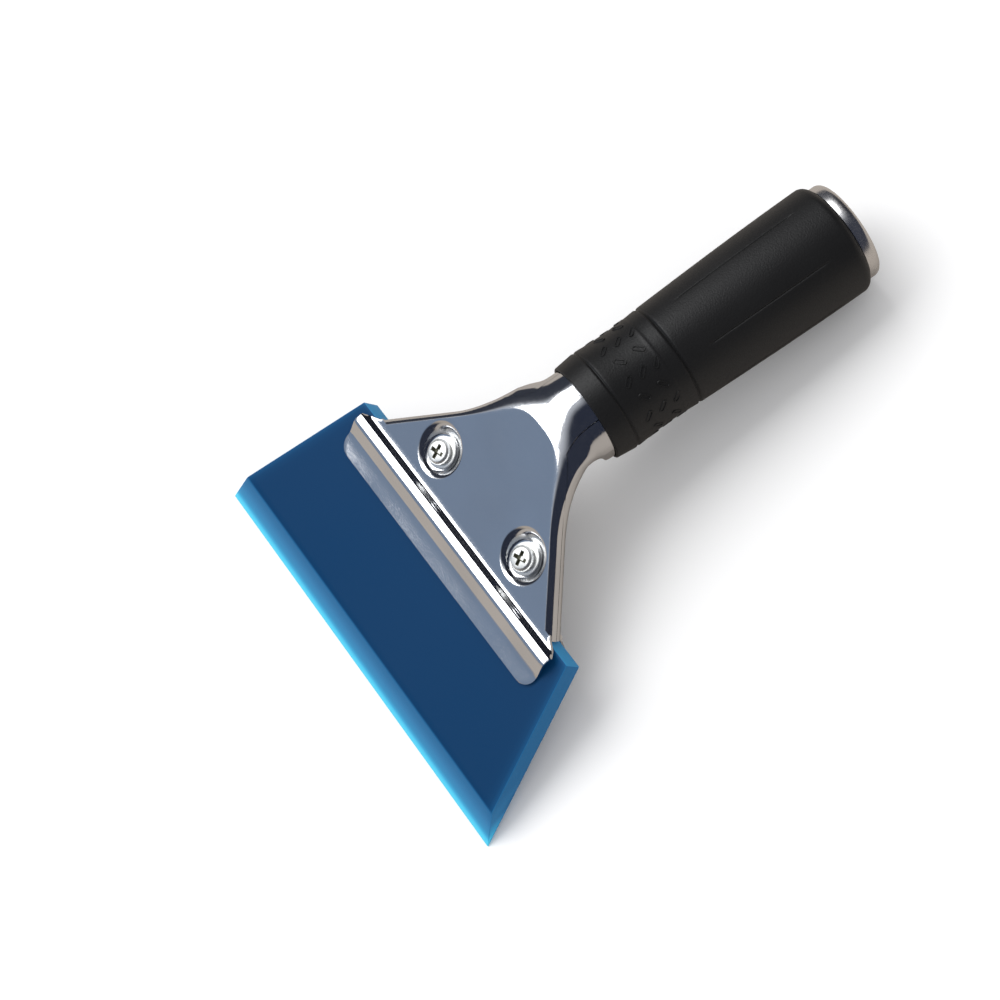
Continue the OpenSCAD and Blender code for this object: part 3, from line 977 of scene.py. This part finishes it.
@dataclass
class Grip:
    """Rubber grip with its collar, grooves, long flutes and raised dashes."""

    head: Head
    length: float = 82.7
    collar: float = 6.4
    band: float = 20.2
    mouth_r: float = 14.3
    collar_r: float = 15.0
    waist_r: float = 14.5
    rear_r: float = 16.3
    bore_r: float = 12.2
    rear_round: float = 2.6
    flutes: int = 6
    flute_start: float = 34.0
    flute_end: float = 74.0
    flute_phase: float = math.radians(-17.5)
    flute_w: float = math.radians(1.5)
    flute_depth: float = 0.28
    collar_groove: Pair = (0.45, 0.35)  # depth and half width
    band_groove: Pair = (0.55, 0.4)  # depth and half width
    raised_arc: Point = (15.4, 0.16, 0.45)  # distance behind the collar, height and half width
    mouth_round: float = 0.4
    inner_step: Pair = (17.0, 0.25)  # where the bore narrows, and the room in front of that
    # start, end and count of each stretch of rows along the outer face
    rows: tuple[tuple[float, float, int], ...] = (
        (0.7, 5.4, 8), (5.6, 7.2, 12), (7.8, 20.0, 14), (20.4, 25.2, 16), (25.5, 27.8, 16),
    )

    def radius(self, d: float) -> float:
        """Outer radius at a distance d behind the mouth.

        Args:
            d: Distance behind the mouth.

        Returns:
            The radius, grooves and the faint raised arc included.
        """
        back = self.collar + self.band
        if d <= self.collar:
            r = mix(self.mouth_r, self.collar_r, d / self.collar)
        elif d <= back:
            w = (d - self.collar) / self.band
            r = self.collar_r - (self.collar_r - self.waist_r) * math.sin(math.pi * w)
        else:
            share = (d - back) / (self.length - back)
            r = mix(self.collar_r, self.rear_r, math.sin(math.pi / 2 * share))
        arc_at, arc_h, arc_w = self.raised_arc
        for at, height, width in ((self.collar, -self.collar_groove[0], self.collar_groove[1]),
                                  (back, -self.band_groove[0], self.band_groove[1]),
                                  (self.collar + arc_at, arc_h, arc_w)):
            r += height * math.exp(-(((d - at) / width) ** 2))
        return r

    def loop(self) -> list[Pair]:
        """Closed loop of the grip's section, outer face first.

        Returns:
            Radius and distance of each point.
        """
        e, m, end = self.rear_round, self.mouth_round, self.length
        outer = [(self.radius(m) - m + m * math.sin(a), m - m * math.cos(a))
                 for a in steps(0, math.pi / 2, 4)]
        for start, stop, count in self.rows + ((28.4, end - e, 60),):
            outer += [(self.radius(d), d) for d in steps(start, stop, count)]
        rear = self.radius(end - e)
        outer += [(rear - e + e * math.cos(a), end - e + e * math.sin(a))
                  for a in steps(0, math.pi / 2, 10)][1:]
        step, room = self.inner_step
        front_bore = self.head.neck_r + room
        return outer + [(self.bore_r, end), (self.bore_r, step), (front_bore, step), (front_bore, 0.0)]

    def build(self, at: HeadFrame) -> None:
        """Builds the grip and its dashes on the handle's body.

        Args:
            at: Frame of the head.
        """
        loop = self.loop()
        pitch = 2 * math.pi / self.flutes
        angles: list[float] = []
        for k in range(self.flutes):
            centre = self.flute_phase + k * pitch
            angles += steps(centre - self.flute_w * 1.5, centre + self.flute_w * 1.5, 12)
            angles += steps(centre + self.flute_w * 1.5, centre + pitch - self.flute_w * 1.5, 20)[1:-1]

        def relief(index: int, angle: float) -> float:
            """Depth of the flutes at one point of the loop."""
            r, d = loop[index]
            if r < self.bore_r + 1 or not self.flute_start < d < self.flute_end:
                return 0.0
            off = (angle - self.flute_phase + pitch / 2) % pitch - pitch / 2
            ends = ease((d - self.flute_start) / 3) * ease((self.flute_end - d) / 3)
            return -self.flute_depth * ends * math.exp(-((off / (self.flute_w * 0.55)) ** 2))

        skin = Skin()
        skin.add_lathe(loop, angles, relief)
        place = handle_matrix(self.head, at, 0)
        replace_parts(add_piece(skin.mesh("grip_sleeve", place), RUBBER, "handle"), "rubber_grip")
        pairs = DashRows(dashes=2, first=13.2, pitch=6.0, phase=3.6, lean=45)
        threes = DashRows(dashes=3, first=11.7, pitch=4.6, phase=26.1, lean=-45)
        for name, marks in (("grip_dashes_pairs", pairs), ("grip_dashes_threes", threes)):
            data = marks.bake(name, self)
            data.transform(place)
            add_piece(finish_mesh(data), RUBBER, "handle")


@dataclass
class DashRows:
    """Rows of raised outlined dashes round the grip, laid out by Geometry Nodes."""

    dashes: int
    first: float
    pitch: float
    phase: float
    lean: float
    rows: int = 8
    long: float = 3.2
    wide: float = 1.1
    line: float = 0.23

    def tree(self) -> bpy.types.NodeTree:
        """Builds the node tree that places the dashes, once.

        Returns:
            The tree, with a named input for each size.
        """
        name = "grip_dash_rows"
        if name in bpy.data.node_groups:
            return bpy.data.node_groups[name]
        tree = bpy.data.node_groups.new(name, "GeometryNodeTree")
        for label in ("Rows", "Dashes"):
            group_socket(tree, label, "NodeSocketInt")
        for label in ("First", "Pitch", "Phase", "Lean", "Radius", "Long", "Wide", "Line", "Waist",
                      "Band Start", "Band"):
            group_socket(tree, label, "NodeSocketFloat")
        group_socket(tree, "Rubber", "NodeSocketMaterial")
        group_socket(tree, "Geometry", "NodeSocketGeometry", out=True)
        new, link = tree.nodes.new, tree.links.new
        given, out = new("NodeGroupInput"), new("NodeGroupOutput")

        def maths(op: str, a: object, b: object = 0.0) -> bpy.types.NodeSocket:
            """One math node over sockets or numbers."""
            node = new("ShaderNodeMath")
            node.operation = op
            for k, value in enumerate((a, b)):
                feed(tree, node.inputs[k], value)
            return node.outputs[0]

        def vector(x: object, y: object, z: object) -> bpy.types.NodeSocket:
            """One vector from sockets or numbers."""
            node = new("ShaderNodeCombineXYZ")
            for k, value in enumerate((x, y, z)):
                feed(tree, node.inputs[k], value)
            return node.outputs[0]

        index = new("GeometryNodeInputIndex").outputs[0]
        row = maths("FLOOR", maths("DIVIDE", maths("ADD", index, 0.5), given.outputs["Dashes"]))
        place = maths("FLOORED_MODULO", index, given.outputs["Dashes"])
        angle = maths("ADD", maths("MULTIPLY", row, maths("DIVIDE", 2 * math.pi, given.outputs["Rows"])),
                      given.outputs["Phase"])
        away = maths("ADD", given.outputs["First"], maths("MULTIPLY", place, given.outputs["Pitch"]))
        sine, cosine = maths("SINE", angle), maths("COSINE", angle)
        share = maths("DIVIDE", maths("SUBTRACT", away, given.outputs["Band Start"]), given.outputs["Band"])
        dip = maths("MULTIPLY", maths("SINE", maths("MULTIPLY", share, math.pi)), given.outputs["Waist"])
        radius = maths("SUBTRACT", given.outputs["Radius"], dip)
        points = new("GeometryNodePoints")
        link(maths("MULTIPLY", given.outputs["Rows"], given.outputs["Dashes"]), points.inputs["Count"])
        spot = vector(maths("MULTIPLY", sine, radius), maths("MULTIPLY", cosine, radius), away)
        link(spot, points.inputs["Position"])
        outline = new("GeometryNodeCurvePrimitiveQuadrilateral")
        link(given.outputs["Long"], outline.inputs["Width"])
        link(given.outputs["Wide"], outline.inputs["Height"])
        rounded = new("GeometryNodeFilletCurve")
        rounded.mode = "POLY"
        rounded.inputs["Count"].default_value = 4
        link(maths("MULTIPLY", given.outputs["Wide"], 0.49), rounded.inputs["Radius"])
        link(outline.outputs["Curve"], rounded.inputs["Curve"])
        section = new("GeometryNodeCurvePrimitiveCircle")
        section.inputs["Resolution"].default_value = 6
        link(given.outputs["Line"], section.inputs["Radius"])
        tubed = new("GeometryNodeCurveToMesh")
        link(rounded.outputs["Curve"], tubed.inputs["Curve"])
        link(section.outputs["Curve"], tubed.inputs["Profile Curve"])
        facing = new("FunctionNodeAxesToRotation")
        facing.primary_axis = "Z"
        facing.secondary_axis = "X"
        link(vector(sine, cosine, 0.0), facing.inputs["Primary Axis"])
        link(vector(0.0, 0.0, 1.0), facing.inputs["Secondary Axis"])
        copies = new("GeometryNodeInstanceOnPoints")
        link(points.outputs[0], copies.inputs["Points"])
        link(tubed.outputs["Mesh"], copies.inputs["Instance"])
        link(facing.outputs[0], copies.inputs["Rotation"])
        leaning = new("GeometryNodeRotateInstances")
        link(copies.outputs["Instances"], leaning.inputs["Instances"])
        link(vector(0.0, 0.0, given.outputs["Lean"]), leaning.inputs["Rotation"])
        real = new("GeometryNodeRealizeInstances")
        link(leaning.outputs["Instances"], real.inputs["Geometry"])
        dressed = new("GeometryNodeSetMaterial")
        link(real.outputs["Geometry"], dressed.inputs["Geometry"])
        link(given.outputs["Rubber"], dressed.inputs["Material"])
        link(dressed.outputs["Geometry"], out.inputs["Geometry"])
        return tree

    def bake(self, name: str, grip: Grip) -> bpy.types.Mesh:
        """Evaluates the tree and keeps the result as a plain mesh.

        Args:
            name: Name of the mesh.
            grip: Grip whose waisted band carries the dashes.

        Returns:
            The mesh, about the handle's axis.
        """
        values = {"Rows": self.rows, "Dashes": self.dashes, "First": self.first, "Pitch": self.pitch,
                  "Phase": math.radians(self.phase), "Lean": math.radians(self.lean),
                  "Radius": grip.collar_r - 0.02, "Waist": grip.collar_r - grip.waist_r,
                  "Band Start": grip.collar, "Band": grip.band,
                  "Long": self.long, "Wide": self.wide, "Line": self.line, "Rubber": RUBBER.material()}
        return bake_nodes(name, self.tree(), values)


def bake_nodes(name: str, tree: bpy.types.NodeTree, values: dict[str, object]) -> bpy.types.Mesh:
    """Runs a geometry tree on an empty object and keeps the result as a plain mesh.

    Args:
        name: Name of the mesh.
        tree: The geometry tree.
        values: Value of each named input.

    Returns:
        The mesh.
    """
    carrier = bpy.data.objects.new(name + "_nodes", bpy.data.meshes.new(name + "_nodes"))
    bpy.context.scene.collection.objects.link(carrier)
    modifier = carrier.modifiers.new("rows", "NODES")
    modifier.node_group = tree
    for item in tree.interface.items_tree:
        if item.in_out == "INPUT" and item.name in values:
            modifier[item.identifier] = values[item.name]
    ready = carrier.evaluated_get(bpy.context.evaluated_depsgraph_get())
    data = bpy.data.meshes.new_from_object(ready)
    data.name = name
    carrier.modifiers.clear()
    bpy.data.objects.remove(carrier)
    return data


@dataclass
class EndRing:
    """Polished ring with a rounded lip that closes the handle's rear end."""

    head: Head
    start: float = 82.7
    shown: float = 4.0
    radius: float = 14.4
    bore: float = 11.2
    tube_r: float = 12.2
    lip: float = 1.9
    front_round: float = 0.35
    bore_round: float = 0.5
    seat: float = 3.3

    def build(self, at: HeadFrame) -> None:
        """Builds the ring on the handle's body.

        Args:
            at: Frame of the head.
        """
        r, e, h, b = self.radius, self.lip, self.shown, self.bore_round
        loop = [(self.tube_r, 0.0), (r - self.front_round, 0.0), (r - 0.1, 0.1), (r, self.front_round)]
        loop += [(r - e + e * math.cos(a), h - e + e * math.sin(a)) for a in steps(0, math.pi / 2, 14)]
        loop += [(self.bore + b - b * math.sin(a), h - b + b * math.cos(a)) for a in steps(0, math.pi / 2, 6)]
        loop += [(self.bore, self.seat), (self.tube_r, self.seat)]
        skin = Skin()
        skin.add_lathe(loop, steps(0, 2 * math.pi, 160)[:-1])
        data = skin.mesh("end_ring_lip", handle_matrix(self.head, at, self.start))
        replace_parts(add_piece(data, RING_STEEL, "handle"), "end_ring")


@dataclass
class ScrewSet:
    """Pan-head screw and washer of one side, and the dressing of its nut."""

    head: Head
    side: Side
    turn: float
    head_r: float = 3.5
    head_h: float = 2.2
    round_r: float = 1.0
    shank_r: float = 1.95
    washer_r: float = 4.5
    washer_t: float = 0.6
    base: float = 0.96
    tip: float = -8.5
    recess: Pair = (4.2, 1.1)  # length and width of each arm of the cross
    recess_depth: float = 1.2
    recess_floor: float = 0.75  # share of the arms' length at the floor
    recess_mouth: Pair = (0.6, 1.12)  # level over the head, and the share that they grow to there
    thread_pitch: float = 0.7
    thread_depth: float = 0.28
    thread_end: float = -3.0
    washer_gap: float = 0.05
    washer_bore: float = 2.0

    def matrix(self, at: HeadFrame) -> Matrix:
        """Matrix from millimetres about the screw's axis to the row frame."""
        return at.matrix() @ Matrix.Translation((self.side.value * self.head.screw[0], self.head.screw[1], 0))

    def turned(self, loop: list[Pair], columns: int) -> Skin:
        """Skin of a loop turned about the screw's axis."""
        skin = Skin()
        skin.add_lathe(loop, steps(0, 2 * math.pi, columns)[:-1])
        return skin

    def screw_loop(self) -> list[Pair]:
        """Half section of the screw, from its tip over its rounded head.

        Returns:
            Radius and level of each point.
        """
        pts: list[Pair] = [(0.001, self.tip), (self.shank_r - 0.5, self.tip),
                           (self.shank_r - 0.3, self.tip + 0.3)]
        z = self.tip + 0.5
        while z < self.thread_end:
            pts += [(self.shank_r - self.thread_depth, z), (self.shank_r, z + 0.3), (self.shank_r, z + 0.4)]
            z += self.thread_pitch
        pts += [(self.shank_r, z), (self.shank_r, self.base), (self.head_r - 0.15, self.base),
                (self.head_r, self.base + 0.15)]
        top, e = self.base + self.head_h, self.round_r
        pts += [(self.head_r - e + e * math.cos(a), top - e + e * math.sin(a)) for a in steps(0, 1.45, 8)]
        pts += [(1.2, top - 0.01), (0.001, top)]
        return pts

    def cutter(self) -> Skin:
        """Skin of the tapered cross that cuts the recess.

        Returns:
            The skin.
        """
        skin = Skin()
        top = self.base + self.head_h
        for quarter in (0, 1):
            rings: list[list[Point]] = []
            for level, share in ((-self.recess_depth, self.recess_floor), self.recess_mouth):
                half_l, half_w = self.recess[0] / 2 * share, self.recess[1] / 2 * (0.7 + 0.3 * share)
                turn = math.radians(self.turn) + quarter * math.pi / 2
                corners = ((half_l, half_w), (-half_l, half_w), (-half_l, -half_w), (half_l, -half_w))
                rings.append([(x * math.cos(turn) - y * math.sin(turn),
                               x * math.sin(turn) + y * math.cos(turn), top + level) for x, y in corners])
            skin.add_loft(rings)
        return skin

    def build_screw(self, at: HeadFrame, name: str) -> None:
        """Builds the screw, with painted shade inside its recess: a dark material on the recess faces.

        Args:
            at: Frame of the head.
            name: Word that names this side's pieces.
        """
        screw = self.turned(self.screw_loop(), 64).mesh(f"{name}_screw_pan_head", Matrix.Identity(4))
        data = cut(screw, self.cutter().mesh(f"{name}_recess", Matrix.Identity(4)))
        below, reach = self.base + self.head_h - 0.12, self.recess[0] * self.recess_mouth[1] / 2
        pits = [self.base < face.center.z < below and face.center.xy.length < reach for face in data.polygons]
        data.transform(self.matrix(at))
        centres = [face.center.copy() for face, pit in zip(data.polygons, pits) if pit]
        obj = add_piece(finish_mesh(data), PLATED, f"{name}_screw")
        # painted shade: the recess faces get the dark material
        obj.data.materials.append(RECESS_PAINTED_SHADE.material())
        for face in obj.data.polygons:
            if any((face.center - centre).length < SAME_PLACE for centre in centres):
                face.material_index = 1
        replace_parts(obj, f"{name}_screw")

    def build_washer(self, at: HeadFrame, name: str) -> None:
        """Builds the washer under the screw's head.

        Args:
            at: Frame of the head.
            name: Word that names this side's pieces.
        """
        low, r, bore = self.head.seat + self.washer_gap, self.washer_r, self.washer_bore
        top = low + self.washer_t
        loop = [(bore, low), (r - 0.1, low), (r, low + 0.12), (r, top - 0.2), (r - 0.06, top - 0.06),
                (r - 0.2, top), (bore + 0.1, top), (bore, top - 0.1)]
        washer = self.turned(loop, 72).mesh(f"{name}_washer_plain", self.matrix(at))
        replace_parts(add_piece(washer, PLATED, f"{name}_washer"), f"{name}_washer")

    def build(self, at: HeadFrame) -> None:
        """Builds the screw and washer and dresses the nut.

        Args:
            at: Frame of the head.
        """
        name = self.side.label
        self.build_screw(at, name)
        self.build_washer(at, name)
        dress_node(f"{name}_nut", PLATED, 0.25)


def cut(data: bpy.types.Mesh, tool: bpy.types.Mesh) -> bpy.types.Mesh:
    """Cuts one mesh out of another.

    Args:
        data: Mesh that is cut.
        tool: Mesh that cuts.

    Returns:
        The cut mesh.
    """
    work = bpy.data.objects.new(data.name, data)
    cutter = bpy.data.objects.new(tool.name, tool)
    for obj in (work, cutter):
        bpy.context.scene.collection.objects.link(obj)
    boolean = work.modifiers.new("recess", "BOOLEAN")
    boolean.object = cutter
    boolean.solver = "EXACT"
    boolean.use_self = True
    ready = work.evaluated_get(bpy.context.evaluated_depsgraph_get())
    result = bpy.data.meshes.new_from_object(ready)
    result.name = data.name + "_cut"
    work.modifiers.clear()
    bpy.data.objects.remove(cutter)
    bpy.data.objects.remove(work)
    return result


def dress_node(node: str, finish: Finish, round_mm: float) -> None:
    """Dresses a CAD node that is carried over, with lightly rounded edges.

    Args:
        node: Name of the CAD node.
        finish: Finish that gives its material.
        round_mm: Width of its rounded edges.
    """
    obj = frame["nodes"][node]
    obj.data.materials.clear()
    obj.data.materials.append(finish.material())
    weld = obj.modifiers.new("weld", "WELD")
    weld.merge_threshold = SAME_PLACE
    soft = obj.modifiers.new("edges", "BEVEL")
    soft.width = round_mm * MM
    soft.segments = 3
    soft.limit_method = "ANGLE"
    soft.angle_limit = math.radians(40)
    log.info("%s: CAD node dressed with %s", node, finish.name)


# ------------------------------------------------------------------------------- studio


@dataclass
class Studio:
    """Pale floor, soft lights, sky and camera."""

    at: HeadFrame
    eye: Point = (315.0797, 243.7429, 581.6156)
    right: Point = (0.5517107, 0.6305862, -0.5458720)
    down: Point = (0.7040819, -0.7029770, -0.1004595)
    ahead: Point = (-0.4470838, -0.3289140, -0.8318243)
    lens: float = 95.246
    ambient: float = 0.76
    soft_light: float = 3.4
    floor_reach: float = 6.0
    floor_tone: Colour = (0.93, 0.93, 0.93, 1)
    # painted reflection: darker warm floor tone seen only by glossy rays
    floor_in_reflections: Colour = (0.40, 0.36, 0.32, 1)
    horizon: Colour = (0.20, 0.26, 0.36, 1)
    # bands laid over the horizon's colour: axis, where each starts and is full, and its colour
    bands: tuple[tuple[str, float, float, Colour], ...] = (
        ("Y", -0.88, -0.95, (0.46, 0.40, 0.34, 1)),
        ("Y", -0.60, -0.48, (0.50, 0.52, 0.56, 1)),
        ("Y", 0.20, 0.40, (0.012, 0.014, 0.022, 1)),
        ("X", -0.10, 0.22, (0.022, 0.027, 0.045, 1)),
        ("X", -0.66, -0.80, (0.035, 0.040, 0.055, 1)),
    )

    def floor(self) -> None:
        """Lays the pale floor, with a darker warm tone that only reflections see: a painted reflection in the
        steel.
        """
        data = bpy.data.meshes.new("studio_floor")
        reach = self.floor_reach
        data.from_pydata([(-reach, -reach, 0), (reach, -reach, 0), (reach, reach, 0), (-reach, reach, 0)],
                         [], [(0, 1, 2, 3)])
        obj = bpy.data.objects.new("studio_floor", data)
        bpy.context.scene.collection.objects.link(obj)
        mat = bpy.data.materials.new("studio_floor")
        mat.use_nodes = True
        shader = next(n for n in mat.node_tree.nodes if n.type == "BSDF_PRINCIPLED")
        shader.inputs["Roughness"].default_value = 0.9
        shader.inputs["Specular IOR Level"].default_value = 0.0
        path = mat.node_tree.nodes.new("ShaderNodeLightPath")
        tone = mat.node_tree.nodes.new("ShaderNodeMix")
        tone.data_type = "RGBA"
        tone.inputs["A"].default_value = self.floor_tone
        tone.inputs["B"].default_value = self.floor_in_reflections
        mat.node_tree.links.new(path.outputs["Is Glossy Ray"], tone.inputs["Factor"])
        mat.node_tree.links.new(tone.outputs["Result"], shader.inputs["Base Color"])
        data.materials.append(mat)

    def softbox(self, name: str, toward: Point, distance: float, size: Pair, strength: float) -> None:
        """Hangs one rectangular soft light that faces the tool.

        Args:
            name: Name of the light.
            toward: Direction of the light from the tool, in the row frame.
            distance: How far away it hangs, in metres.
            size: Width and height, in metres.
            strength: Brightness of its face.
        """
        data = bpy.data.lights.new(name, "AREA")
        data.shape = "RECTANGLE"
        data.size, data.size_y = size
        data.energy = strength * math.pi * size[0] * size[1]
        obj = bpy.data.objects.new(name, data)
        bpy.context.scene.collection.objects.link(obj)
        way = Vector(toward).normalized()
        side = Vector((0, 1, 0)).cross(way).normalized()
        obj.matrix_world = Matrix.Translation(way * distance) @ Matrix(
            (side, way.cross(side), way)).transposed().to_4x4()
        obj.visible_camera = False

    def sky(self) -> None:
        """Builds the studio's surroundings: dark ends, a grey ceiling and a warm horizon."""
        world = bpy.data.worlds.new("studio_sky")
        bpy.context.scene.world = world
        world.use_nodes = True
        tree = world.node_tree
        tree.nodes.clear()
        new, link = tree.nodes.new, tree.links.new
        coords, parts = new("ShaderNodeTexCoord"), new("ShaderNodeSeparateXYZ")
        link(coords.outputs["Generated"], parts.inputs[0])

        def ramp(value: bpy.types.NodeSocket, low: float, high: float) -> bpy.types.NodeSocket:
            """Smooth share of a value between two limits."""
            node = new("ShaderNodeMapRange")
            node.interpolation_type = "SMOOTHSTEP"
            node.inputs["From Min"].default_value = low
            node.inputs["From Max"].default_value = high
            link(value, node.inputs["Value"])
            return node.outputs["Result"]

        def tint(share: bpy.types.NodeSocket, under: object, over: Colour) -> bpy.types.NodeSocket:
            """Blends a colour over another by a share."""
            node = new("ShaderNodeMix")
            node.data_type = "RGBA"
            for label, value in (("Factor", share), ("A", under), ("B", over)):
                feed(tree, node.inputs[label], value)
            return node.outputs["Result"]

        colour: object = self.horizon
        for axis, low, high, over in self.bands:
            colour = tint(ramp(parts.outputs[axis], low, high), colour, over)
        mirror = new("ShaderNodeBackground")
        link(colour, mirror.inputs["Color"])
        flat = new("ShaderNodeBackground")
        flat.inputs["Color"].default_value = (self.ambient, self.ambient, self.ambient * 1.01, 1)
        white = new("ShaderNodeBackground")
        white.inputs["Color"].default_value = (1, 1, 1, 1)
        path = new("ShaderNodeLightPath")
        glossy, seen = new("ShaderNodeMixShader"), new("ShaderNodeMixShader")
        link(path.outputs["Is Glossy Ray"], glossy.inputs["Fac"])
        link(flat.outputs[0], glossy.inputs[1])
        link(mirror.outputs[0], glossy.inputs[2])
        link(path.outputs["Is Camera Ray"], seen.inputs["Fac"])
        link(glossy.outputs[0], seen.inputs[1])
        link(white.outputs[0], seen.inputs[2])
        link(seen.outputs[0], new("ShaderNodeOutputWorld").inputs["Surface"])

    def camera(self) -> None:
        """Sets the camera up at the product shot's viewing angle."""
        data = bpy.data.cameras.new("studio_camera")
        data.sensor_width = 36.0
        data.lens = self.lens
        data.clip_start, data.clip_end = 0.05, 30.0
        obj = bpy.data.objects.new("studio_camera", data)
        bpy.context.scene.collection.objects.link(obj)
        axes = Matrix((self.at.turn(self.right), -self.at.turn(self.down), -self.at.turn(self.ahead)))
        obj.matrix_world = Matrix.Translation(self.at.place(self.eye)) @ axes.transposed().to_4x4()
        bpy.context.scene.camera = obj

    def build(self) -> None:
        """Builds the whole studio."""
        self.floor()
        self.sky()
        self.softbox("main_softbox", (-0.447, -0.155, 0.88), 1.6, (1.0, 1.5), self.soft_light)
        self.camera()
        view = bpy.context.scene.view_settings
        view.view_transform = "Standard"
        view.look = "None"
        view.exposure = 0.0


def main() -> None:
    """Builds the tool piece by piece, then the studio round it."""
    logging.basicConfig(level=logging.INFO, format="%(message)s")
    at, head = HeadFrame.from_cad(), Head()
    Blade().build(at)
    FrontShell(head).build(at)
    BackShell(head).build(at)
    Grip(head).build(at)
    EndRing(head).build(at)
    dress_node("handle_tube", TUBE_STEEL, 0.2)
    for side, turn in ((Side.LEFT, 16.0), (Side.RIGHT, 20.0)):
        ScrewSet(head, side, turn).build(at)
    Studio(at).build()


if __name__ == "__main__":
    main()
